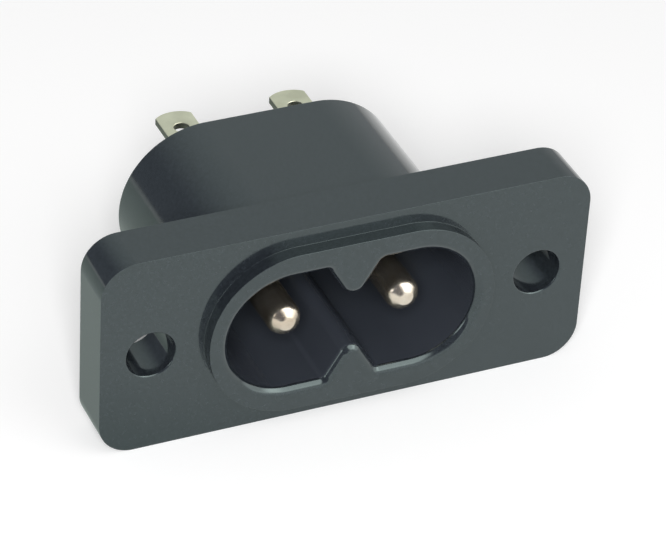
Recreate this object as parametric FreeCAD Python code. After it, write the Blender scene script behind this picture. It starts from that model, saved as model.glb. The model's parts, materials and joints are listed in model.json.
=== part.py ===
import FreeCAD, Part
import math
import os

from FreeCAD import Vector

# Two-pole mains inlet for panel mounting, with a figure-eight socket. Millimetres.
# Origin: middle of the flange's rear face, the face that lies on the panel.
# +X runs along the flange, +Y goes back through the panel, +Z is up.

# Flange
FLANGE_WIDTH = 35.1
FLANGE_HEIGHT = 15.0
FLANGE_THICKNESS = 3.75
FLANGE_CORNER_RADIUS = 2.45
FLANGE_EDGE_BREAK = 0.1
SCREW_SPACING = 28.0
SCREW_HOLE_DIAMETER = 3.4
SCREW_HOLE_EDGE_BREAK = 0.15

# Body: a round-ended section that stands out of both faces of the flange
BODY_WIDTH = 20.6
BODY_HEIGHT = 12.5
COLLAR_HEIGHT = 1.0
BARREL_LENGTH = 12.15
BODY_EDGE_BREAK = 0.1
REAR_WALL = 4.0

# Socket: round-ended, narrowed at mid-width by a pointed key above and below
SOCKET_WIDTH = 17.9
SOCKET_HEIGHT = 9.0
SOCKET_DRAFT_DEG = 0.25
LEAD_IN_WIDTH = 0.35
LEAD_IN_DEPTH = 0.35
KEY_GAP = 4.3
KEY_TIP_RADIUS = 0.9
KEY_ROOT_RADIUS = 0.5
KEY_FLANK_DEG = 31.0

# Contact pins, turned, with a collar sunk in the socket's floor and a riveted tail
PIN_SPACING = 8.6
PIN_DIAMETER = 2.4
PIN_SETBACK = 1.05
PIN_NOSE_LENGTH = 0.6
PIN_NOSE_WIDTH = 0.75
PIN_COLLAR_STEP = 0.5
PIN_COLLAR_LENGTH = 0.9
PIN_SHANK_STEP = 0.2
PIN_TENON_STEP = 0.3
RIVET_HEAD_STEP = 0.5
RIVET_HEAD_HEIGHT = 0.5
RIVET_HEAD_BEVEL = 0.25
PIN_CLEARANCE = 0.02

# Solder terminals: strip lying in a recess of the rear face, then bent back into a lug
TERMINAL_WIDTH = 2.7
TERMINAL_THICKNESS = 0.5
TERMINAL_BEND_RADIUS = 0.4
TERMINAL_RECESS_DEPTH = 0.3
TERMINAL_CLEARANCE = 0.1
LUG_RISE = 3.65
LUG_REACH = 5.7
LUG_END_RADIUS = 2.1
LUG_HOLE_DIAMETER = 1.1
LUG_HOLE_SETBACK = 2.1

# Depths along Y that follow from the sizes
FLANGE_FRONT = -FLANGE_THICKNESS
RIM = FLANGE_FRONT - COLLAR_HEIGHT
SOCKET_FLOOR = BARREL_LENGTH - REAR_WALL
TERMINAL_SEAT = BARREL_LENGTH - TERMINAL_RECESS_DEPTH
TERMINAL_BACK = TERMINAL_SEAT + TERMINAL_THICKNESS
LUG_TIP = BARREL_LENGTH + LUG_REACH

# Radii along a pin that follow from its diameter
PIN_RADIUS = PIN_DIAMETER / 2
PIN_COLLAR_RADIUS = PIN_RADIUS + PIN_COLLAR_STEP
PIN_SHANK_RADIUS = PIN_RADIUS - PIN_SHANK_STEP
PIN_TENON_RADIUS = PIN_SHANK_RADIUS - PIN_TENON_STEP
RIVET_HEAD_RADIUS = PIN_TENON_RADIUS + RIVET_HEAD_STEP

BACK = Vector(0, 1, 0)
FULL_TURN = 360.0
TOLERANCE = 1e-6
PIN_SIDES = {"left": -PIN_SPACING / 2, "right": PIN_SPACING / 2}


def line(start, end):
    """Straight edge."""
    return Part.LineSegment(start, end).toShape()


def arc(start, middle, end):
    """Circular edge through three points."""
    return Part.Arc(start, middle, end).toShape()


def solid_between(front_outline, rear_outline):
    """Straight-sided solid from one outline to the next."""
    return Part.makeLoft([front_outline, rear_outline], True, True)


def rod(radius, start, end, x):
    """Round bar along Y, beside the axis by x."""
    return Part.makeCylinder(radius, end - start, Vector(x, start, 0), BACK)


def edges_at_depth(shape, y):
    """Edges of a shape that lie wholly at one depth."""
    ends = [(edge, edge.BoundBox.YMin - y, edge.BoundBox.YMax - y) for edge in shape.Edges]
    return [edge for edge, low, high in ends if max(abs(low), abs(high)) < TOLERANCE]


def edges_along_depth(shape):
    """Straight edges of a shape that run along Y."""
    return [edge for edge in shape.Edges if edge.BoundBox.XLength + edge.BoundBox.ZLength < TOLERANCE]


def body_outline(y):
    """Round-ended section of the body at one depth."""
    radius = BODY_HEIGHT / 2
    centre = (BODY_WIDTH - BODY_HEIGHT) / 2
    top_left = Vector(-centre, y, radius)
    top_right = Vector(centre, y, radius)
    low_right = Vector(centre, y, -radius)
    low_left = Vector(-centre, y, -radius)
    return Part.Wire([
        line(top_left, top_right),
        arc(top_right, Vector(centre + radius, y, 0), low_right),
        line(low_right, low_left),
        arc(low_left, Vector(-centre - radius, y, 0), top_left),
    ])


def key_half(grow):
    """Right half of a key as (x, z) points: tip, flank's two ends, middle and end of the root arc."""
    flank = math.radians(KEY_FLANK_DEG)
    tip_radius = KEY_TIP_RADIUS - grow
    tip_centre = KEY_GAP / 2 + KEY_TIP_RADIUS
    root_radius = KEY_ROOT_RADIUS + grow
    root_z = SOCKET_HEIGHT / 2 - KEY_ROOT_RADIUS
    reach = KEY_TIP_RADIUS + KEY_ROOT_RADIUS + (root_z - tip_centre) * math.sin(flank)
    root_x = reach / math.cos(flank)
    middle = (math.pi / 2 - flank) / 2
    return [
        (0, tip_centre - tip_radius),
        (tip_radius * math.cos(flank), tip_centre - tip_radius * math.sin(flank)),
        (root_x - root_radius * math.cos(flank), root_z + root_radius * math.sin(flank)),
        (root_x - root_radius * math.sin(middle), root_z + root_radius * math.cos(middle)),
        (root_x, root_z + root_radius),
    ]


def socket_outline(grow, y):
    """Figure-eight section of the socket, grown all round, at one depth."""
    radius = SOCKET_HEIGHT / 2 + grow
    centre = (SOCKET_WIDTH - SOCKET_HEIGHT) / 2
    key = key_half(grow)

    edges = []
    for side in (1, -1):
        # One half: a key from left to right, seen from inside, then a round end
        first_half = [Vector(-side * x, y, side * z) for x, z in key]
        last_half = [Vector(side * x, y, side * z) for x, z in key]
        _, tip_start, flank_start, first_middle, first_root = first_half
        tip, tip_end, flank_end, last_middle, last_root = last_half
        round_start = Vector(side * centre, y, side * radius)
        round_middle = Vector(side * (centre + radius), y, 0)
        round_end = Vector(side * centre, y, -side * radius)
        next_root = Vector(last_root.x, y, -last_root.z)
        edges += [
            arc(first_root, first_middle, flank_start),
            line(flank_start, tip_start),
            arc(tip_start, tip, tip_end),
            line(tip_end, flank_end),
            arc(flank_end, last_middle, last_root),
            line(last_root, round_start),
            arc(round_start, round_middle, round_end),
            line(round_end, next_root),
        ]
    return Part.Wire(edges)


def make_flange():
    """Plate with rounded corners and a broken front edge."""
    corner = Vector(-FLANGE_WIDTH / 2, FLANGE_FRONT, -FLANGE_HEIGHT / 2)
    plate = Part.makeBox(FLANGE_WIDTH, FLANGE_THICKNESS, FLANGE_HEIGHT, corner)
    plate = plate.makeFillet(FLANGE_CORNER_RADIUS, edges_along_depth(plate))
    return plate.makeChamfer(FLANGE_EDGE_BREAK, edges_at_depth(plate, FLANGE_FRONT))


def make_body():
    """Collar in front and barrel behind, solid inside, with their end edges broken."""
    body = Part.Face(body_outline(RIM)).extrude(BACK * (BARREL_LENGTH - RIM))
    ends = edges_at_depth(body, RIM) + edges_at_depth(body, BARREL_LENGTH)
    return body.makeChamfer(BODY_EDGE_BREAK, ends)


def make_socket():
    """Space inside the socket: a lead-in bevel, then tapered walls down to a flat floor."""
    wall_start = RIM + LEAD_IN_DEPTH
    taper = (SOCKET_FLOOR - wall_start) * math.tan(math.radians(SOCKET_DRAFT_DEG))
    lead_in = solid_between(socket_outline(LEAD_IN_WIDTH, RIM), socket_outline(0, wall_start))
    well = solid_between(socket_outline(0, wall_start), socket_outline(-taper, SOCKET_FLOOR))
    return lead_in.fuse(well)


def make_screw_hole(x):
    """Plain hole through the flange, with its front edge broken."""
    radius = SCREW_HOLE_DIAMETER / 2
    hole = rod(radius, FLANGE_FRONT, 0, x)
    mouth = Vector(x, FLANGE_FRONT, 0)
    edge_break = Part.makeCone(radius + SCREW_HOLE_EDGE_BREAK, radius, SCREW_HOLE_EDGE_BREAK, mouth, BACK)
    return hole.fuse(edge_break)


def make_pin_hole(x):
    """Stepped hole in the rear wall for a pin's collar and shank."""
    collar_seat = SOCKET_FLOOR + PIN_COLLAR_LENGTH
    counterbore = rod(PIN_COLLAR_RADIUS + PIN_CLEARANCE, SOCKET_FLOOR, collar_seat, x)
    return counterbore.fuse(rod(PIN_SHANK_RADIUS + PIN_CLEARANCE, collar_seat, TERMINAL_SEAT, x))


def make_terminal_recess(x):
    """Shallow recess in the rear face that keeps a terminal from turning."""
    outline = strip_outline(x, TERMINAL_WIDTH / 2 + TERMINAL_CLEARANCE, LUG_RISE + TERMINAL_CLEARANCE)
    return Part.Face(outline).extrude(BACK * TERMINAL_RECESS_DEPTH)


def make_housing():
    """One-piece moulding: flange, collar, barrel and socket."""
    housing = make_flange().fuse(make_body()).removeSplitter()
    cuts = [make_socket()]
    cuts += [make_screw_hole(side * SCREW_SPACING / 2) for side in (-1, 1)]
    for x in PIN_SIDES.values():
        cuts += [make_pin_hole(x), make_terminal_recess(x)]
    return housing.cut(cuts)


def make_pin(x):
    """Contact pin: bevelled nose, plain shaft, collar, shank, tenon and formed rivet head."""
    tip = RIM + PIN_SETBACK
    collar_seat = SOCKET_FLOOR + PIN_COLLAR_LENGTH
    head_top = TERMINAL_BACK + RIVET_HEAD_HEIGHT
    turned = [
        (0, tip),
        (PIN_RADIUS - PIN_NOSE_WIDTH, tip),
        (PIN_RADIUS, tip + PIN_NOSE_LENGTH),
        (PIN_RADIUS, SOCKET_FLOOR),
        (PIN_COLLAR_RADIUS, SOCKET_FLOOR),
        (PIN_COLLAR_RADIUS, collar_seat),
        (PIN_SHANK_RADIUS, collar_seat),
        (PIN_SHANK_RADIUS, TERMINAL_SEAT),
        (PIN_TENON_RADIUS, TERMINAL_SEAT),
        (PIN_TENON_RADIUS, TERMINAL_BACK),
        (RIVET_HEAD_RADIUS, TERMINAL_BACK),
        (RIVET_HEAD_RADIUS, head_top - RIVET_HEAD_BEVEL),
        (RIVET_HEAD_RADIUS - RIVET_HEAD_BEVEL, head_top),
        (0, head_top),
        (0, tip),
    ]
    profile = Part.makePolygon([Vector(x + radius, y, 0) for radius, y in turned])
    return Part.Face(profile).revolve(Vector(x, 0, 0), BACK, FULL_TURN)


def strip_outline(x, half_width, top):
    """Front view of a terminal's strip: square above, round below and centred on the pin."""
    y = TERMINAL_SEAT
    top_left = Vector(x - half_width, y, top)
    top_right = Vector(x + half_width, y, top)
    foot_right = Vector(x + half_width, y, 0)
    foot_left = Vector(x - half_width, y, 0)
    return Part.Wire([
        line(top_left, top_right),
        line(top_right, foot_right),
        arc(foot_right, Vector(x, y, -half_width), foot_left),
        line(foot_left, top_left),
    ])


def make_strip(x):
    """Strip of even thickness, bent once at a right angle from upright to level."""
    left = x - TERMINAL_WIDTH / 2
    foot = -TERMINAL_WIDTH / 2
    inner = TERMINAL_BEND_RADIUS
    outer = TERMINAL_BEND_RADIUS + TERMINAL_THICKNESS
    bend_y = TERMINAL_SEAT + outer
    bend_z = LUG_RISE - outer
    diagonal = math.sqrt(0.5)

    def at(y, z):
        return Vector(left, y, z)

    underside = LUG_RISE - TERMINAL_THICKNESS
    outer_middle = at(bend_y - outer * diagonal, bend_z + outer * diagonal)
    inner_middle = at(bend_y - inner * diagonal, bend_z + inner * diagonal)
    profile = Part.Wire([
        line(at(TERMINAL_SEAT, foot), at(TERMINAL_SEAT, bend_z)),
        arc(at(TERMINAL_SEAT, bend_z), outer_middle, at(bend_y, LUG_RISE)),
        line(at(bend_y, LUG_RISE), at(LUG_TIP, LUG_RISE)),
        line(at(LUG_TIP, LUG_RISE), at(LUG_TIP, underside)),
        line(at(LUG_TIP, underside), at(bend_y, underside)),
        arc(at(bend_y, underside), inner_middle, at(TERMINAL_BACK, bend_z)),
        line(at(TERMINAL_BACK, bend_z), at(TERMINAL_BACK, foot)),
        line(at(TERMINAL_BACK, foot), at(TERMINAL_SEAT, foot)),
    ])
    return Part.Face(profile).extrude(Vector(TERMINAL_WIDTH, 0, 0))


def make_terminal(x):
    """Solder terminal: strip with a round foot on the pin and a lug with a curved end."""
    half_width = TERMINAL_WIDTH / 2
    underside = LUG_RISE - TERMINAL_THICKNESS

    foot_view = Part.Face(strip_outline(x, half_width, LUG_RISE)).extrude(BACK * (LUG_TIP - TERMINAL_SEAT))

    corner = LUG_TIP - LUG_END_RADIUS + math.sqrt(LUG_END_RADIUS ** 2 - half_width ** 2)
    rear_left = Vector(x - half_width, corner, -half_width)
    rear_right = Vector(x + half_width, corner, -half_width)
    front_left = Vector(x - half_width, TERMINAL_SEAT, -half_width)
    front_right = Vector(x + half_width, TERMINAL_SEAT, -half_width)
    plan = Part.Wire([
        line(front_left, front_right),
        line(front_right, rear_right),
        arc(rear_right, Vector(x, LUG_TIP, -half_width), rear_left),
        line(rear_left, front_left),
    ])
    plan_view = Part.Face(plan).extrude(Vector(0, 0, LUG_RISE + half_width))

    rivet_hole = rod(PIN_TENON_RADIUS + PIN_CLEARANCE, TERMINAL_SEAT, TERMINAL_BACK, x)
    hole_centre = Vector(x, LUG_TIP - LUG_HOLE_SETBACK, underside)
    lug_hole = Part.makeCylinder(LUG_HOLE_DIAMETER / 2, TERMINAL_THICKNESS, hole_centre)
    return make_strip(x).common(foot_view).common(plan_view).cut([rivet_hole, lug_hole]).removeSplitter()


def save(name, shape):
    """Write one piece as a STEP file named after it."""
    shape.exportStep(os.path.join("parts", name + ".step"))


os.makedirs("parts", exist_ok=True)
save("housing", make_housing())
for side_name, side_x in PIN_SIDES.items():
    save("contact_pin_" + side_name, make_pin(side_x))
    save("solder_terminal_" + side_name, make_terminal(side_x))
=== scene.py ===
import json
import math

import bmesh
import bpy
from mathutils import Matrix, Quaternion, Vector


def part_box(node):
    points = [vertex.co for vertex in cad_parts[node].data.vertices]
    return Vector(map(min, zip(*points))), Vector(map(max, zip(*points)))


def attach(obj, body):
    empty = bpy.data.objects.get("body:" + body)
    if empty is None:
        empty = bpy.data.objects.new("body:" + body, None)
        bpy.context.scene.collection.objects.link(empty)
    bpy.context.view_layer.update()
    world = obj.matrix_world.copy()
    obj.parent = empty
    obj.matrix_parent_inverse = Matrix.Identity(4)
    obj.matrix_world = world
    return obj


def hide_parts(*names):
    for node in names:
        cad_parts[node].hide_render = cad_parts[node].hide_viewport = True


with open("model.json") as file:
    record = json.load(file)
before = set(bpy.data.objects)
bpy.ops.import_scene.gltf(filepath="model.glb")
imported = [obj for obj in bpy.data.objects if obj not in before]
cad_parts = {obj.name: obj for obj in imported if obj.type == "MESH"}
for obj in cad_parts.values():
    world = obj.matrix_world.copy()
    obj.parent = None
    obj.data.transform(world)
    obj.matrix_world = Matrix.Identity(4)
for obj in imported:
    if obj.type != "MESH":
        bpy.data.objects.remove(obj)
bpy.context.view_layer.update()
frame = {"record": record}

# Looks of a two-pole panel inlet: black moulding, nickel-plated pins, tin-plated solder lugs. Metres.
MM = 0.001

# Places and sizes that the frame gives
MOUNTS = {mount["name"]: mount for mount in frame["record"]["mounts"]}
HOUSING_LOW, HOUSING_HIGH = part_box("housing")
FLOOR_HEIGHT = HOUSING_LOW.z
FLANGE_HALF_WIDTH = HOUSING_HIGH.x
FLANGE_HALF_HEIGHT = HOUSING_HIGH.z
FLANGE_FRONT = MOUNTS["flange_front_face"]["pos_m"][1]
FLANGE_REAR = MOUNTS["flange_rear_face"]["pos_m"][1]
RIM = HOUSING_LOW.y
BARREL_END = HOUSING_HIGH.y
SCREW_X = MOUNTS["panel_screws"]["dims"]["spacing_x_mm"] * MM / 2
SCREW_HOLE_RADIUS = MOUNTS["panel_screws"]["dims"]["hole_r_mm"] * MM
PIN_RADIUS = MOUNTS["left_pin"]["dims"]["r_mm"] * MM
PIN_X = {side: MOUNTS[side + "_pin"]["pos_m"][0] for side in ("left", "right")}
PIN_LOW, PIN_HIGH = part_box("contact_pin_left")
PIN_TIP = PIN_LOW.y
PIN_COLLAR_RADIUS = PIN_HIGH.z
RIVET_HEAD_TOP = PIN_HIGH.y
TERMINAL_LOW, TERMINAL_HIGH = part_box("solder_terminal_left")
TERMINAL_SEAT = TERMINAL_LOW.y
TERMINAL_HALF_WIDTH = -TERMINAL_LOW.z
TERMINAL_THICKNESS = MOUNTS["left_lug_hole"]["dims"]["length_mm"] * MM
LUG_TOP = TERMINAL_HIGH.z
LUG_TIP = TERMINAL_HIGH.y
LUG_HOLE_RADIUS = MOUNTS["left_lug_hole"]["dims"]["r_mm"] * MM
LUG_HOLE_Y = MOUNTS["left_lug_hole"]["pos_m"][1]

# Housing
FLANGE_CORNER_RADIUS = 2.45 * MM
FLANGE_EDGE_RADIUS = 0.015 * MM
BODY_RADIUS = 6.25 * MM
BODY_CENTRE = 4.05 * MM
COLLAR_EDGE_RADIUS = 0.03 * MM
COLLAR_ROOT_RADIUS = 0.02 * MM
BARREL_ROOT_RADIUS = 0.15 * MM
BARREL_EDGE_RADIUS = 0.1 * MM
SCREW_HOLE_EDGE_RADIUS = 0.15 * MM
SOCKET_RADIUS = 4.5 * MM
SOCKET_CENTRE = 4.45 * MM
SOCKET_FLOOR = 8.15 * MM
SOCKET_FLOOR_RADIUS = 0.15 * MM
SOCKET_DRAFT_DEG = 0.25
LEAD_IN = 0.35 * MM
LEAD_IN_OUTER_ROUND = 0.6 * MM
LEAD_IN_INNER_ROUND = 0.4 * MM
KEY_HALF_GAP = 2.15 * MM
KEY_TIP_RADIUS = 0.9 * MM
KEY_ROOT_RADIUS = 0.5 * MM
KEY_FLANK_DEG = 31.0
PIN_CLEARANCE = 0.02 * MM
TERMINAL_CLEARANCE = 0.1 * MM

# Pins
PIN_NOSE_LENGTH = 0.6 * MM
PIN_NOSE_WIDTH = 0.75 * MM
PIN_NOSE_TIP_ROUND = 0.6 * MM
PIN_NOSE_ROOT_ROUND = 0.8 * MM
PIN_NOSE_FLAT_RADIUS = 0.1 * MM
PIN_COLLAR_LENGTH = 0.9 * MM
PIN_SHANK_RADIUS = 1.0 * MM
PIN_TENON_RADIUS = 0.7 * MM
PIN_EDGE_ROUND = 0.05 * MM
RIVET_HEAD_RADIUS = 1.2 * MM
RIVET_HEAD_ROUND = 0.35 * MM

# Terminals
TERMINAL_BEND_RADIUS = 0.4 * MM
TERMINAL_EDGE_RADIUS = 0.06 * MM
TERMINAL_CORNER_RADIUS = 0.06 * MM
LUG_END_RADIUS = 2.1 * MM
LUG_CORNER_RADIUS = 0.15 * MM
BEND_CUTS = 12
# A face of the flat strip is a cut edge if its normal has a smaller share along y than this
CUT_EDGE_LIMIT = 0.5

# Worked out from these
SOCKET_WALL_START = RIM + LEAD_IN
SOCKET_TAPER = (SOCKET_FLOOR - SOCKET_WALL_START) * math.tan(math.radians(SOCKET_DRAFT_DEG))
PIN_COLLAR_SEAT = SOCKET_FLOOR + PIN_COLLAR_LENGTH
TERMINAL_BACK = TERMINAL_SEAT + TERMINAL_THICKNESS
BEND_OUTER_RADIUS = TERMINAL_BEND_RADIUS + TERMINAL_THICKNESS
BEND_AXIS_Y = TERMINAL_SEAT + BEND_OUTER_RADIUS
BEND_AXIS_Z = LUG_TOP - BEND_OUTER_RADIUS
BEND_LENGTH = (TERMINAL_BEND_RADIUS + TERMINAL_THICKNESS / 2) * math.pi / 2

# Fineness of the meshes
ARC_STEP_DEG = 3.0
ROUND_STEPS = 8
SHARP_DEG = 38.0
# Flat border beside a rounded edge
SHOULDER = 0.05 * MM
# Neighbours on an outline that are nearer than this are one point
SAME_POINT = 1e-8

# Attributes of faces: the socket's inside, which the mould's core forms, with a rougher finish and a
# lighter colour that is painted light, and the strip's cut edges
CORE_FINISH_AND_PAINTED_LIGHT = "core_finish_and_painted_light"
CUT_EDGE = "cut_edge"

# Colours are linear
WHITE = (1.0, 1.0, 1.0, 1)
PLASTIC_DARK = (0.0118, 0.0143, 0.0175, 1)
PLASTIC_LIGHT = (0.0201, 0.0242, 0.0296, 1)
# Socket's inside: lighter than the outside, painted light that brightens the socket's shade
PLASTIC_SOCKET_PAINTED_LIGHT = (0.0345, 0.0395, 0.0500, 1)
PLASTIC_GLOSS_TINT = (0.82, 1.0, 0.95, 1)
PIN_COLOUR_WORN = (0.56, 0.48, 0.37, 1)
PIN_COLOUR_BRIGHT = (0.70, 0.64, 0.54, 1)
TERMINAL_COLOUR_DULL = (0.62, 0.62, 0.455, 1)
TERMINAL_COLOUR_BRIGHT = (0.755, 0.755, 0.567, 1)
TERMINAL_CUT_EDGE = (0.22, 0.23, 0.19, 1)
FLOOR_COLOUR = (0.92, 0.92, 0.92, 1)

# Surfaces. A pair is the lowest and the highest roughness.
PLASTIC_IOR = 1.66
PLASTIC_ROUGHNESS = (0.08, 0.14)
PLASTIC_CORE_ROUGHNESS = 0.25
PLASTIC_RELIEF_HEIGHT = 0.0015 * MM
PIN_METALLIC = 0.96
PIN_ROUGHNESS = (0.22, 0.27)
PIN_RING_HEIGHT = 0.0004 * MM
TERMINAL_ROUGHNESS = (0.3, 0.45)
TERMINAL_CUT_EDGE_ROUGHNESS = 0.6
TERMINAL_LINE_HEIGHT = 0.006 * MM
FLOOR_GLOW = 0.14

# Noise: grains to the metre, levels of detail and, for rings and lines, the stretch along each axis
PLASTIC_MOTTLE = (4500, 3)
PLASTIC_SHEEN = (700, 5)
PLASTIC_RELIEF = (2500, 3)
PIN_STAIN = (900, 4)
PIN_POLISH = (1500, 2)
PIN_RINGS = (900, 3, (1, 14, 1))
TERMINAL_PATCHES = (700, 5)
TERMINAL_POLISH = (1100, 4)
TERMINAL_LINES = (1200, 3, (8, 1, 1))
# Part of the noise's values that is spread over the whole range
NOISE_LOW = 0.3
NOISE_HIGH = 0.7

# Camera, solved from the photograph's outlines
CAMERA_PLACE = Vector((-82.39, -173.41, 135.97)) * MM
CAMERA_FORWARD = Vector((0.35233, 0.73696, -0.57685))
CAMERA_ROLL_DEG = 3.518
CAMERA_LENS_MM = 189.234
CAMERA_SENSOR_MM = 36.0
CAMERA_CLIP_START = 0.01

# Studio. Azimuths are in degrees from the back towards the right.
FLOOR_SIZE = 6.0
WORLD_STRENGTH = 0.33
# Square lamps: azimuth, elevation, distance, width, power
LAMPS = {
    "side_lamp": (146, 46, 0.6, 0.45, 0.5),
    "camera_lamp": (206, 35, 0.6, 0.2, 3.7),
}
TENT_RADIUS = 1.2
TENT_SEGMENTS = 64
TENT_SHADE = (0.12, 0.12, 0.15)
# Soft lobes of light on the tent: azimuth, elevation, cosines of the angles where a lobe fades out
# and where it is full, and its colour
TENT_LOBES = [
    (35, 35, 0.45, 1.0, (0.49, 0.52, 0.50)),
    (-45, 15, 0.0, 0.8, (0.09, 0.10, 0.11)),
    (-106, 22, 0.96, 0.99, (2.8, 2.8, 2.8)),
    (112, 26, 0.8, 0.97, (2.0, 2.0, 2.0)),
    (140, 54, 0.80, 0.95, (3.2, 3.2, 3.2)),
    (155, 8, 0.80, 0.97, (1.2, 1.2, 1.2)),
]
# Sheet over the floor, behind the flange on the left, that darkens the floor in reflections as a painted
# shadow: its middle, half
#  its width and depth, its height over the floor, the share of its reach over which it thickens from the
#  edge, and its shade
CARD_MIDDLE = (-45 * MM, 62 * MM)
CARD_REACH = (75 * MM, 85 * MM)
CARD_HEIGHT = 0.1 * MM
CARD_FADE = 0.2
CARD_SHADE = (0.58, 0.66, 0.62, 1)


def arc(x, z, radius, start, end):
    """Arc of an outline: centre, radius, first and last angle. Turning clockwise makes it hollow."""
    return x, z, radius, math.radians(start), math.radians(end)


def outline(arcs, grow):
    """Closed outline of arcs joined by straight runs, moved outward by grow, as (x, z) points."""
    points = []
    for x, z, radius, start, end in arcs:
        reach = radius + grow if end > start else radius - grow
        steps = max(2, math.ceil(math.degrees(abs(end - start)) / ARC_STEP_DEG))
        angles = [start + (end - start) * step / steps for step in range(steps + 1)]
        points += [(x + reach * math.cos(a), z + reach * math.sin(a)) for a in angles]
    pairs = zip(points, points[-1:] + points[:-1])
    return [here for here, last in pairs if math.dist(here, last) > SAME_POINT]


def circle(x, radius):
    """Outline of a circle whose middle lies on the x axis."""
    return [arc(x, 0, radius, 0, 180), arc(x, 0, radius, 180, 360)]


def body_arcs():
    """Outline of the collar and the barrel: two half rounds joined by flats."""
    return [
        arc(BODY_CENTRE, 0, BODY_RADIUS, -90, 90),
        arc(-BODY_CENTRE, 0, BODY_RADIUS, 90, 270),
    ]


def flange_arcs():
    """Outline of the flange: a rectangle with rounded corners."""
    x = FLANGE_HALF_WIDTH - FLANGE_CORNER_RADIUS
    z = FLANGE_HALF_HEIGHT - FLANGE_CORNER_RADIUS
    corners = [(x, z), (-x, z), (-x, -z), (x, -z)]
    turns = range(0, 360, 90)
    return [arc(*corner, FLANGE_CORNER_RADIUS, turn, turn + 90) for corner, turn in zip(corners, turns)]


def socket_arcs():
    """Figure-eight outline: round ends, narrowed by a pointed key above and below."""
    flank = math.radians(KEY_FLANK_DEG)
    tip_z = KEY_HALF_GAP + KEY_TIP_RADIUS
    root_z = SOCKET_RADIUS - KEY_ROOT_RADIUS
    reach = KEY_TIP_RADIUS + KEY_ROOT_RADIUS
    root_x = (reach + (root_z - tip_z) * math.sin(flank)) / math.cos(flank)
    arcs = []
    for side, turn in ((1, 0), (-1, 180)):
        arcs += [
            arc(side * SOCKET_CENTRE, 0, SOCKET_RADIUS, turn - 90, turn + 90),
            arc(side * root_x, side * root_z, KEY_ROOT_RADIUS, turn + 90, turn + 180 - KEY_FLANK_DEG),
            arc(0, side * tip_z, KEY_TIP_RADIUS, turn - KEY_FLANK_DEG, turn - 180 + KEY_FLANK_DEG),
            arc(-side * root_x, side * root_z, KEY_ROOT_RADIUS, turn + KEY_FLANK_DEG, turn + 90),
        ]
    return arcs


def recess_arcs(x):
    """Outline of the recess that a terminal's foot lies in."""
    half = TERMINAL_HALF_WIDTH + TERMINAL_CLEARANCE
    corner_x = half - TERMINAL_CORNER_RADIUS
    corner_z = LUG_TOP + TERMINAL_CLEARANCE - TERMINAL_CORNER_RADIUS
    return [
        arc(x, 0, half, 180, 360),
        arc(x + corner_x, corner_z, TERMINAL_CORNER_RADIUS, 0, 90),
        arc(x - corner_x, corner_z, TERMINAL_CORNER_RADIUS, 90, 180),
    ]


def rounded_corner(before, corner, after, radius):
    """Points of the arc that rounds one corner of a profile."""
    to_before = (before - corner).normalized()
    to_after = (after - corner).normalized()
    half = to_before.angle(to_after) / 2
    centre = corner + (to_before + to_after).normalized() * (radius / math.sin(half))
    arm = corner + to_before * (radius / math.tan(half)) - centre
    turns = [(math.pi - 2 * half) * step / ROUND_STEPS for step in range(ROUND_STEPS + 1)]
    return [tuple(centre + arm * math.cos(a) - to_before * (radius * math.sin(a))) for a in turns]


def profile(*corners):
    """Profile through corners (grow, y, radius), each rounded by its radius if it has one."""
    points = [corners[0][:2]]
    for before, corner, after in zip(corners, corners[1:], corners[2:]):
        if len(corner) == 2:
            points.append(corner)
        else:
            ends = [Vector(point[:2]) for point in (before, corner, after)]
            points += rounded_corner(*ends, corner[2])
    return points + [corners[-1][:2]]


def skin(bm, arcs, points):
    """Wall that follows an outline along a profile. Gives its first and last ring of vertices."""
    rings = [[bm.verts.new((x, y, z)) for x, z in outline(arcs, grow)] for grow, y in points]
    for first, second in zip(rings, rings[1:]):
        for i in range(len(first)):
            bm.faces.new((first[i - 1], first[i], second[i], second[i - 1]))
    return rings[0], rings[-1]


def fill(bm, *rings):
    """Flat face between rings that lie in one plane: the outer one and its holes."""
    edges = [bm.edges.get((ring[i - 1], ring[i])) for ring in rings for i in range(len(ring))]
    bmesh.ops.triangle_fill(bm, use_beauty=True, edges=edges)


def mark(bm, name, test):
    """Attribute on the faces of a mesh: 1 where a test holds, otherwise 0."""
    layer = bm.faces.layers.float.new(name)
    bm.normal_update()
    for face in bm.faces:
        face[layer] = float(test(face))


def in_socket(face):
    """Whether a face is a wall or the floor of the socket, behind the lead-in."""
    middle = face.calc_center_median()
    off_axis = math.hypot(max(abs(middle.x) - SOCKET_CENTRE, 0), middle.z)
    return off_axis < SOCKET_RADIUS and SOCKET_WALL_START < middle.y < SOCKET_FLOOR + SHOULDER


def is_cut_edge(face):
    """Whether a face of the flat strip is an edge that the stamping cut."""
    return abs(face.normal.y) < CUT_EDGE_LIMIT


def finish_mesh(bm, name, material, replaced):
    """Object from a mesh: outward normals, smooth rounds, crisp flats, on the body of its CAD node."""
    bmesh.ops.recalc_face_normals(bm, faces=bm.faces)
    mesh = bpy.data.meshes.new(name)
    bm.to_mesh(mesh)
    bm.free()
    mesh.shade_smooth()
    mesh.set_sharp_from_angle(angle=math.radians(SHARP_DEG))
    mesh.materials.append(material)
    piece = bpy.data.objects.new(name, mesh)
    bpy.context.scene.collection.objects.link(piece)
    weights = piece.modifiers.new("crisp_flats", "WEIGHTED_NORMAL")
    weights.keep_sharp = True
    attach(piece, "root")
    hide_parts(replaced)


def flange_skin(bm):
    """Edge of the flange, from front to rear."""
    return skin(bm, flange_arcs(), profile(
        (-FLANGE_EDGE_RADIUS - SHOULDER, FLANGE_FRONT),
        (0, FLANGE_FRONT, FLANGE_EDGE_RADIUS),
        (0, FLANGE_REAR),
    ))


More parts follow.
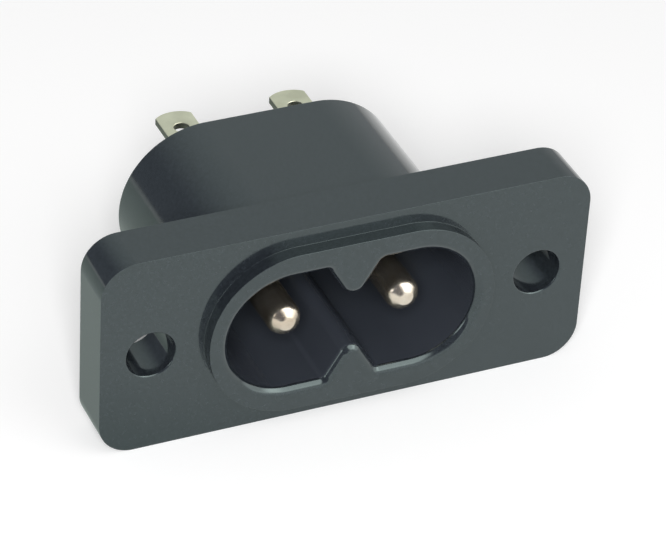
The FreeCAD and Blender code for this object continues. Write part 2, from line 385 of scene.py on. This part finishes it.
def collar_skin(bm):
    """Outside of the collar, from the flange to the rim."""
    return skin(bm, body_arcs(), profile(
        (COLLAR_ROOT_RADIUS + SHOULDER, FLANGE_FRONT),
        (0, FLANGE_FRONT, COLLAR_ROOT_RADIUS),
        (0, RIM, COLLAR_EDGE_RADIUS),
        (-COLLAR_EDGE_RADIUS - SHOULDER, RIM),
    ))


def socket_skin(bm):
    """Inside of the socket: lead-in, drafted wall and the start of its floor."""
    return skin(bm, socket_arcs(), profile(
        (LEAD_IN + LEAD_IN_OUTER_ROUND / 2, RIM),
        (LEAD_IN, RIM, LEAD_IN_OUTER_ROUND),
        (0, SOCKET_WALL_START, LEAD_IN_INNER_ROUND),
        (-SOCKET_TAPER, SOCKET_FLOOR, SOCKET_FLOOR_RADIUS),
        (-SOCKET_TAPER - SOCKET_FLOOR_RADIUS - SHOULDER, SOCKET_FLOOR),
    ))


def barrel_skin(bm):
    """Outside of the barrel, from the flange to its end."""
    return skin(bm, body_arcs(), profile(
        (BARREL_ROOT_RADIUS + SHOULDER, FLANGE_REAR),
        (0, FLANGE_REAR, BARREL_ROOT_RADIUS),
        (0, BARREL_END, BARREL_EDGE_RADIUS),
        (-BARREL_EDGE_RADIUS - SHOULDER, BARREL_END),
    ))


def screw_hole_skin(bm, x):
    """Wall of a screw hole through the flange, rounded at the front."""
    return skin(bm, circle(x, SCREW_HOLE_RADIUS), profile(
        (SCREW_HOLE_EDGE_RADIUS + SHOULDER, FLANGE_FRONT),
        (0, FLANGE_FRONT, SCREW_HOLE_EDGE_RADIUS),
        (0, FLANGE_REAR),
    ))


def pin_hole_skin(bm, x):
    """Stepped hole in the rear wall that a pin's collar and shank sit in."""
    step = PIN_SHANK_RADIUS - PIN_COLLAR_RADIUS
    return skin(bm, circle(x, PIN_COLLAR_RADIUS + PIN_CLEARANCE), profile(
        (0, SOCKET_FLOOR),
        (0, PIN_COLLAR_SEAT),
        (step, PIN_COLLAR_SEAT),
        (step, TERMINAL_SEAT),
    ))


def recess_skin(bm, x):
    """Wall of the recess for a terminal's foot, from the barrel's end to the seat."""
    return skin(bm, recess_arcs(x), profile((0, BARREL_END), (0, TERMINAL_SEAT)))


def make_housing(material):
    """One moulding: flange, collar, socket, barrel and rear wall, closed all round."""
    bm = bmesh.new()
    flange_front, flange_rear = flange_skin(bm)
    collar_root, collar_rim = collar_skin(bm)
    socket_rim, socket_floor = socket_skin(bm)
    barrel_root, barrel_end = barrel_skin(bm)
    screw_holes = [screw_hole_skin(bm, x) for x in (-SCREW_X, SCREW_X)]
    pin_holes = [pin_hole_skin(bm, x) for x in PIN_X.values()]
    recesses = [recess_skin(bm, x) for x in PIN_X.values()]

    fill(bm, flange_front, collar_root, *[front for front, _ in screw_holes])
    fill(bm, collar_rim, socket_rim)
    fill(bm, socket_floor, *[front for front, _ in pin_holes])
    fill(bm, flange_rear, barrel_root, *[rear for _, rear in screw_holes])
    fill(bm, barrel_end, *[mouth for mouth, _ in recesses])
    for (_, seat), (_, hole_end) in zip(recesses, pin_holes):
        fill(bm, seat, hole_end)
    mark(bm, CORE_FINISH_AND_PAINTED_LIGHT, in_socket)
    finish_mesh(bm, "housing_moulding", material, "housing")


def make_pin(side, material):
    """Turned contact pin: rounded nose, shaft, collar, shank, tenon and formed rivet head."""
    bm = bmesh.new()
    turned = [
        (PIN_NOSE_FLAT_RADIUS, PIN_TIP),
        (PIN_RADIUS - PIN_NOSE_WIDTH, PIN_TIP, PIN_NOSE_TIP_ROUND),
        (PIN_RADIUS, PIN_TIP + PIN_NOSE_LENGTH, PIN_NOSE_ROOT_ROUND),
        (PIN_RADIUS, SOCKET_FLOOR),
        (PIN_COLLAR_RADIUS, SOCKET_FLOOR, PIN_EDGE_ROUND),
        (PIN_COLLAR_RADIUS, PIN_COLLAR_SEAT),
        (PIN_SHANK_RADIUS, PIN_COLLAR_SEAT),
        (PIN_SHANK_RADIUS, TERMINAL_SEAT),
        (PIN_TENON_RADIUS, TERMINAL_SEAT),
        (PIN_TENON_RADIUS, TERMINAL_BACK),
        (RIVET_HEAD_RADIUS, TERMINAL_BACK, PIN_EDGE_ROUND),
        (RIVET_HEAD_RADIUS, RIVET_HEAD_TOP, RIVET_HEAD_ROUND),
        (RIVET_HEAD_RADIUS - RIVET_HEAD_ROUND - SHOULDER, RIVET_HEAD_TOP),
    ]
    grown = [(corner[0] - PIN_RADIUS, *corner[1:]) for corner in turned]
    for end in skin(bm, circle(PIN_X[side], PIN_RADIUS), profile(*grown)):
        bm.faces.new(end)
    finish_mesh(bm, "turned_pin_" + side, material, "contact_pin_" + side)


def flat_height(y):
    """Height on the flat strip of what lies at a depth on the bent lug."""
    return BEND_AXIS_Z + BEND_LENGTH + y - BEND_AXIS_Y


def lug_end_arcs(x, end_z):
    """Curved end of a lug, with its two corners softened."""
    centre_z = end_z - LUG_END_RADIUS
    corner_x = TERMINAL_HALF_WIDTH - LUG_CORNER_RADIUS
    corner_z = centre_z + math.sqrt((LUG_END_RADIUS - LUG_CORNER_RADIUS) ** 2 - corner_x ** 2)
    lean = math.degrees(math.atan2(corner_z - centre_z, corner_x))
    return [
        arc(x + corner_x, corner_z, LUG_CORNER_RADIUS, 0, lean),
        arc(x, centre_z, LUG_END_RADIUS, lean, 180 - lean),
        arc(x - corner_x, corner_z, LUG_CORNER_RADIUS, 180 - lean, 180),
    ]


def shifted(arcs, z):
    """Outline moved along z."""
    return [(cx, cz + z, radius, start, end) for cx, cz, radius, start, end in arcs]


def strip_wall(flat_side):
    """Profile of a cut through the strip, whose flats lie inside an outline (-1) or round a hole (1)."""
    flat = flat_side * (TERMINAL_EDGE_RADIUS + SHOULDER)
    return profile(
        (flat, TERMINAL_SEAT),
        (0, TERMINAL_SEAT, TERMINAL_EDGE_RADIUS),
        (0, TERMINAL_BACK, TERMINAL_EDGE_RADIUS),
        (flat, TERMINAL_BACK),
    )


def bend_strip(bm):
    """Bends a flat strip back at a right angle, with cuts across the bend to keep it smooth."""
    for cut in range(BEND_CUTS + 1):
        height = BEND_AXIS_Z + BEND_LENGTH * cut / BEND_CUTS
        everything = bm.verts[:] + bm.edges[:] + bm.faces[:]
        bmesh.ops.bisect_plane(bm, geom=everything, plane_co=(0, 0, height), plane_no=(0, 0, 1))
    for vertex in bm.verts:
        run = vertex.co.z - BEND_AXIS_Z
        if run > 0:
            radius = BEND_AXIS_Y - vertex.co.y
            turn = min(run / BEND_LENGTH, 1) * math.pi / 2
            vertex.co.y = BEND_AXIS_Y - radius * math.cos(turn) + max(run - BEND_LENGTH, 0)
            vertex.co.z = BEND_AXIS_Z + radius * math.sin(turn)


def make_terminal(side, material):
    """Stamped strip: cut flat with a round foot, a hole at each end, then bent back into a lug."""
    bm = bmesh.new()
    x = PIN_X[side]
    strip = [arc(x, 0, TERMINAL_HALF_WIDTH, 180, 360)] + lug_end_arcs(x, flat_height(LUG_TIP))
    rivet_hole = circle(x, PIN_TENON_RADIUS + PIN_CLEARANCE)
    lug_hole = shifted(circle(x, LUG_HOLE_RADIUS), flat_height(LUG_HOLE_Y))
    rims = [skin(bm, strip, strip_wall(-1))]
    rims += [skin(bm, hole, strip_wall(1)) for hole in (rivet_hole, lug_hole)]
    fill(bm, *[front for front, _ in rims])
    fill(bm, *[rear for _, rear in rims])
    mark(bm, CUT_EDGE, is_cut_edge)
    bend_strip(bm)
    finish_mesh(bm, "stamped_lug_" + side, material, "solder_terminal_" + side)


def new_material(name):
    """Material with its node tree and its main shader."""
    material = bpy.data.materials.new(name)
    material.use_nodes = True
    return material, material.node_tree, material.node_tree.nodes["Principled BSDF"]


def bare_material(name):
    """Material whose node tree has no shader yet, with the socket that takes one."""
    material, tree, shader = new_material(name)
    tree.nodes.remove(shader)
    return material, tree, tree.nodes["Material Output"].inputs["Surface"]


def noise(tree, per_metre, detail, stretch=(1, 1, 1)):
    """Noise in the object's own coordinates, with a number of grains to the metre."""
    place = tree.nodes.new("ShaderNodeTexCoord")
    mapping = tree.nodes.new("ShaderNodeMapping")
    mapping.inputs["Scale"].default_value = stretch
    texture = tree.nodes.new("ShaderNodeTexNoise")
    texture.inputs["Scale"].default_value = per_metre
    texture.inputs["Detail"].default_value = detail
    tree.links.new(place.outputs["Object"], mapping.inputs["Vector"])
    tree.links.new(mapping.outputs["Vector"], texture.inputs["Vector"])
    return texture.outputs["Fac"]


def vary(tree, field, low, high, socket):
    """Drives a number socket from a noise field, between two values."""
    spread = tree.nodes.new("ShaderNodeMapRange")
    spread.inputs["From Min"].default_value = NOISE_LOW
    spread.inputs["From Max"].default_value = NOISE_HIGH
    spread.inputs["To Min"].default_value = low
    spread.inputs["To Max"].default_value = high
    tree.links.new(field, spread.inputs["Value"])
    tree.links.new(spread.outputs["Result"], socket)


def tint(tree, field, first, second, socket):
    """Drives a colour socket from a noise field, between two colours."""
    ramp = tree.nodes.new("ShaderNodeValToRGB")
    ends = zip(ramp.color_ramp.elements, (NOISE_LOW, NOISE_HIGH), (first, second))
    for end, position, colour in ends:
        end.position = position
        end.color = colour
    tree.links.new(field, ramp.inputs["Fac"])
    tree.links.new(ramp.outputs["Color"], socket)


def turn_colour(tree, attribute, colour, socket):
    """Turns a driven colour socket to another colour where the mesh carries an attribute."""
    marked = tree.nodes.new("ShaderNodeAttribute")
    marked.attribute_name = attribute
    blend = tree.nodes.new("ShaderNodeMixRGB")
    blend.inputs["Color2"].default_value = colour
    tree.links.new(marked.outputs["Fac"], blend.inputs["Fac"])
    tree.links.new(socket.links[0].from_socket, blend.inputs["Color1"])
    tree.links.new(blend.outputs["Color"], socket)


def turn_number(tree, attribute, value, socket):
    """Turns a driven number socket to another value where the mesh carries an attribute."""
    marked = tree.nodes.new("ShaderNodeAttribute")
    marked.attribute_name = attribute
    blend = tree.nodes.new("ShaderNodeMapRange")
    blend.inputs["To Max"].default_value = value
    tree.links.new(marked.outputs["Fac"], blend.inputs["Value"])
    tree.links.new(socket.links[0].from_socket, blend.inputs["To Min"])
    tree.links.new(blend.outputs["Result"], socket)


def bump(tree, field, height, socket):
    """Raises the surface by a noise field, to a height in metres."""
    relief = tree.nodes.new("ShaderNodeBump")
    relief.inputs["Strength"].default_value = 1.0
    relief.inputs["Distance"].default_value = height
    tree.links.new(field, relief.inputs["Height"])
    tree.links.new(relief.outputs["Normal"], socket)


def plastic_material():
    """Black moulding compound: glossy, faintly uneven from the mould, mottled by its filler, with
    painted light that lightens the socket's inside.
    """
    material, tree, shader = new_material("moulded_black_plastic")
    colour = shader.inputs["Base Color"]
    roughness = shader.inputs["Roughness"]
    shader.inputs["IOR"].default_value = PLASTIC_IOR
    shader.inputs["Specular Tint"].default_value = PLASTIC_GLOSS_TINT
    tint(tree, noise(tree, *PLASTIC_MOTTLE), PLASTIC_DARK, PLASTIC_LIGHT, colour)
    # Painted light: the socket's inside turns lighter to brighten its shade
    turn_colour(tree, CORE_FINISH_AND_PAINTED_LIGHT, PLASTIC_SOCKET_PAINTED_LIGHT, colour)
    vary(tree, noise(tree, *PLASTIC_SHEEN), *PLASTIC_ROUGHNESS, roughness)
    turn_number(tree, CORE_FINISH_AND_PAINTED_LIGHT, PLASTIC_CORE_ROUGHNESS, roughness)
    bump(tree, noise(tree, *PLASTIC_RELIEF), PLASTIC_RELIEF_HEIGHT, shader.inputs["Normal"])
    return material


def pin_material():
    """Nickel plate on brass, slightly dulled, with the fine rings that turning leaves."""
    material, tree, shader = new_material("nickel_plate")
    shader.inputs["Metallic"].default_value = PIN_METALLIC
    stain = noise(tree, *PIN_STAIN)
    tint(tree, stain, PIN_COLOUR_WORN, PIN_COLOUR_BRIGHT, shader.inputs["Base Color"])
    vary(tree, noise(tree, *PIN_POLISH), *PIN_ROUGHNESS, shader.inputs["Roughness"])
    bump(tree, noise(tree, *PIN_RINGS), PIN_RING_HEIGHT, shader.inputs["Normal"])
    return material


def terminal_material():
    """Satin tin plate on a rolled strip, with faint lines along the strip and a few dull patches."""
    material, tree, shader = new_material("tin_plate")
    colour = shader.inputs["Base Color"]
    roughness = shader.inputs["Roughness"]
    shader.inputs["Metallic"].default_value = 1.0
    tint(tree, noise(tree, *TERMINAL_PATCHES), TERMINAL_COLOUR_DULL, TERMINAL_COLOUR_BRIGHT, colour)
    turn_colour(tree, CUT_EDGE, TERMINAL_CUT_EDGE, colour)
    vary(tree, noise(tree, *TERMINAL_POLISH), *TERMINAL_ROUGHNESS, roughness)
    turn_number(tree, CUT_EDGE, TERMINAL_CUT_EDGE_ROUGHNESS, roughness)
    bump(tree, noise(tree, *TERMINAL_LINES), TERMINAL_LINE_HEIGHT, shader.inputs["Normal"])
    return material


def seen_rays(tree):
    """Socket that is 1 for camera, glossy and transmission rays, and 0 for all others."""
    path = tree.nodes.new("ShaderNodeLightPath")
    seen = path.outputs["Is Camera Ray"]
    for kind in ("Is Glossy Ray", "Is Transmission Ray"):
        either = tree.nodes.new("ShaderNodeMath")
        either.operation = "MAXIMUM"
        tree.links.new(seen, either.inputs[0])
        tree.links.new(path.outputs[kind], either.inputs[1])
        seen = either.outputs["Value"]
    return seen


def floor_material():
    """Matt white paper, a little brighter to the eye and in reflections than the light on it."""
    material, tree, shader = new_material("pale_floor")
    shader.inputs["Base Color"].default_value = FLOOR_COLOUR
    shader.inputs["Roughness"].default_value = 1.0
    shader.inputs["Specular IOR Level"].default_value = 0.0
    shader.inputs["Emission Color"].default_value = FLOOR_COLOUR
    glow = tree.nodes.new("ShaderNodeMath")
    glow.operation = "MULTIPLY"
    glow.inputs[1].default_value = FLOOR_GLOW
    tree.links.new(seen_rays(tree), glow.inputs[0])
    tree.links.new(glow.outputs["Value"], shader.inputs["Emission Strength"])
    return material


def painted_shadow_material():
    """Painted shadow in reflections: a see-through dark sheet that thins out towards the card's edge."""
    material, tree, surface = bare_material("painted_shadow")
    place = tree.nodes.new("ShaderNodeTexCoord")
    inward = tree.nodes.new("ShaderNodeTexGradient")
    inward.gradient_type = "SPHERICAL"
    ramp = tree.nodes.new("ShaderNodeValToRGB")
    ramp.color_ramp.interpolation = "EASE"
    ramp.color_ramp.elements[0].color = WHITE
    ramp.color_ramp.elements[1].position = CARD_FADE
    # Painted shadow: the tint that dims the floor in the object's reflections
    ramp.color_ramp.elements[1].color = CARD_SHADE
    painted_shadow = tree.nodes.new("ShaderNodeBsdfTransparent")
    tree.links.new(place.outputs["Object"], inward.inputs["Vector"])
    tree.links.new(inward.outputs["Fac"], ramp.inputs["Fac"])
    tree.links.new(ramp.outputs["Color"], painted_shadow.inputs["Color"])
    tree.links.new(painted_shadow.outputs["BSDF"], surface)
    return material


def direction(azimuth, elevation):
    """Unit vector: azimuth in degrees from +Y towards +X, elevation above the floor."""
    level = math.cos(math.radians(elevation))
    turn = math.radians(azimuth)
    return Vector((level * math.sin(turn), level * math.cos(turn), math.sin(math.radians(elevation))))


def lobe_light(tree, ray, azimuth, elevation, edge, core, colour):
    """Light of one soft lobe, for a ray from the tent's middle."""
    facing = tree.nodes.new("ShaderNodeVectorMath")
    facing.operation = "DOT_PRODUCT"
    facing.inputs[1].default_value = direction(azimuth, elevation)
    fade = tree.nodes.new("ShaderNodeMapRange")
    fade.interpolation_type = "SMOOTHSTEP"
    fade.inputs["From Min"].default_value = edge
    fade.inputs["From Max"].default_value = core
    light = tree.nodes.new("ShaderNodeVectorMath")
    light.operation = "SCALE"
    light.inputs[0].default_value = colour
    tree.links.new(ray, facing.inputs[0])
    tree.links.new(facing.outputs["Value"], fade.inputs["Value"])
    tree.links.new(fade.outputs["Result"], light.inputs["Scale"])
    return light.outputs["Vector"]


def tent_material():
    """Cloth of the light tent: dark, with soft lobes of light."""
    material, tree, surface = bare_material("light_tent")
    place = tree.nodes.new("ShaderNodeTexCoord")
    ray = tree.nodes.new("ShaderNodeVectorMath")
    ray.operation = "NORMALIZE"
    tree.links.new(place.outputs["Object"], ray.inputs[0])
    shade = tree.nodes.new("ShaderNodeCombineXYZ")
    for axis, value in zip("XYZ", TENT_SHADE):
        shade.inputs[axis].default_value = value
    total = shade.outputs["Vector"]
    for lobe in TENT_LOBES:
        added = tree.nodes.new("ShaderNodeVectorMath")
        tree.links.new(total, added.inputs[0])
        tree.links.new(lobe_light(tree, ray.outputs["Vector"], *lobe), added.inputs[1])
        total = added.outputs["Vector"]
    emission = tree.nodes.new("ShaderNodeEmission")
    tree.links.new(total, emission.inputs["Color"])
    tree.links.new(emission.outputs["Emission"], surface)
    return material


def make_sheet(name, material, place, reach):
    """Flat rectangle of the studio: its middle, and half its width and depth."""
    mesh = bpy.data.meshes.new(name)
    mesh.from_pydata([(-1, -1, 0), (1, -1, 0), (1, 1, 0), (-1, 1, 0)], [], [(0, 1, 2, 3)])
    mesh.materials.append(material)
    sheet = bpy.data.objects.new(name, mesh)
    sheet.location = place
    sheet.scale = (*reach, 1)
    bpy.context.scene.collection.objects.link(sheet)
    return sheet


def show_in_reflections(thing):
    """Keeps a thing of the studio out of sight, apart from what the object reflects."""
    thing.visible_camera = False
    thing.visible_diffuse = False
    thing.visible_shadow = False


def make_floor():
    """White floor that the flange stands on."""
    half = FLOOR_SIZE / 2
    floor = make_sheet("floor", floor_material(), (0, 0, FLOOR_HEIGHT), (half, half))


def make_painted_shadow():
    """Sheet over the floor, seen only in reflections, which dims what the object's left side reflects as
    a painted shadow.
    """
    place = (*CARD_MIDDLE, FLOOR_HEIGHT + CARD_HEIGHT)
    card = make_sheet("painted_shadow_card", painted_shadow_material(), place, CARD_REACH)
    show_in_reflections(card)


def make_tent():
    """Light tent round the object, which only shows in what the object reflects."""
    bm = bmesh.new()
    rings = TENT_SEGMENTS // 2
    bmesh.ops.create_uvsphere(bm, u_segments=TENT_SEGMENTS, v_segments=rings, radius=TENT_RADIUS)
    mesh = bpy.data.meshes.new("light_tent")
    bm.to_mesh(mesh)
    bm.free()
    mesh.materials.append(tent_material())
    tent = bpy.data.objects.new("light_tent", mesh)
    bpy.context.scene.collection.objects.link(tent)
    show_in_reflections(tent)


def make_lamp(name, azimuth, elevation, distance, width, power):
    """Soft square lamp that faces the object. It shows neither to the camera nor in reflections."""
    lamp = bpy.data.lights.new(name, "AREA")
    lamp.shape = "SQUARE"
    lamp.size = width
    lamp.energy = power
    stand = bpy.data.objects.new(name, lamp)
    away = direction(azimuth, elevation)
    stand.location = away * distance
    stand.rotation_euler = away.to_track_quat("Z", "Y").to_euler()
    stand.visible_camera = False
    stand.visible_glossy = False
    bpy.context.scene.collection.objects.link(stand)


def make_lights():
    """Even white surroundings, a weak lamp in front on the right, and a strong one by the camera."""
    world = bpy.data.worlds.new("studio")
    world.use_nodes = True
    background = world.node_tree.nodes["Background"]
    background.inputs["Color"].default_value = WHITE
    background.inputs["Strength"].default_value = WORLD_STRENGTH
    bpy.context.scene.world = world
    for name, lamp in LAMPS.items():
        make_lamp(name, *lamp)


def make_camera():
    """Camera at the photograph's place, aimed and rolled to match it."""
    lens = bpy.data.cameras.new("camera")
    lens.sensor_fit = "HORIZONTAL"
    lens.sensor_width = CAMERA_SENSOR_MM
    lens.lens = CAMERA_LENS_MM
    lens.clip_start = CAMERA_CLIP_START
    camera = bpy.data.objects.new("camera", lens)
    camera.location = CAMERA_PLACE
    aim = CAMERA_FORWARD.to_track_quat("-Z", "Y")
    roll = Quaternion((0, 0, 1), math.radians(CAMERA_ROLL_DEG))
    camera.rotation_mode = "QUATERNION"
    camera.rotation_quaternion = aim @ roll
    bpy.context.scene.collection.objects.link(camera)
    bpy.context.scene.camera = camera


make_housing(plastic_material())
pin_metal = pin_material()
terminal_metal = terminal_material()
for side in PIN_X:
    make_pin(side, pin_metal)
    make_terminal(side, terminal_metal)
make_floor()
make_painted_shadow()
make_tent()
make_lights()
make_camera()
bpy.context.scene.view_settings.view_transform = "Standard"
